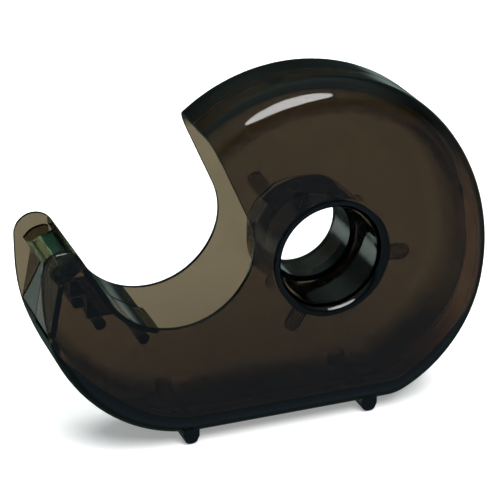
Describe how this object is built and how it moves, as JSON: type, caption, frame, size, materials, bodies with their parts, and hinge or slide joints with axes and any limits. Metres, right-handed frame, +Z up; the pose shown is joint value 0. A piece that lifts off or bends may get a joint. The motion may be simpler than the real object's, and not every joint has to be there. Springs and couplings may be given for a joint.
{
  "type": "tape dispenser",
  "caption": "Empty hand-held tape dispenser: a smoke-clear clam shell with a hollow hub, a round finger cut-out and a toothed cutter on its nose.",
  "frame": {"origin": "centre of the bounding box's bottom, at the level of the feet", "axes": "+X from the cutter nose towards the round heel, +Y across the width from the front half to the back half, +Z up; the side view lies in the XZ plane"},
  "size_m": [0.0967, 0.0222, 0.0751],
  "materials": {
    "smoke_shell": "clear smoke-tinted moulded plastic, polished",
    "smoke_hub": "clear smoke-tinted moulded plastic, polished",
    "smoke_inner": "clear smoke-tinted moulded plastic, thick section",
    "smoke_teal": "clear smoke-tinted plastic that reads bluish green at a slant, polished",
    "smoke_green": "green-tinted clear plastic, finely toothed"
  },
  "bodies": {
    "back_half": {"back_shell": "smoke_shell", "back_hub_tube": "smoke_hub", "back_hub_pad_1": "smoke_hub", "back_hub_pad_2": "smoke_hub", "back_hub_pad_3": "smoke_hub", "pin_socket_1": "smoke_inner", "pin_socket_2": "smoke_inner", "pin_socket_3": "smoke_inner", "back_tape_shelf": "smoke_teal", "back_nose_panel": "smoke_shell", "back_end_stop": "smoke_green", "back_foot_left": "smoke_shell", "back_foot_right": "smoke_shell"},
    "front_half": {"front_shell": "smoke_shell", "front_hub_tube": "smoke_hub", "front_hub_pad_1": "smoke_hub", "front_hub_pad_2": "smoke_hub", "front_hub_pad_3": "smoke_hub", "locating_pin_1": "smoke_inner", "locating_pin_2": "smoke_inner", "locating_pin_3": "smoke_inner", "front_tape_shelf": "smoke_teal", "front_nose_panel": "smoke_shell", "front_end_stop": "smoke_green", "front_foot_left": "smoke_shell", "front_foot_right": "smoke_shell", "cutter_strip": "smoke_green", "landing": "smoke_teal", "nose_web": "smoke_inner", "seam_tab_top": "smoke_shell", "seam_tab_right": "smoke_shell"}
  },
  "joints": [
    {"name": "front_half_pull_off", "type": "slide", "parent": "back_half", "child": "front_half", "axis": [0, -1, 0], "range_m": [0, 0.03]}
  ]
}
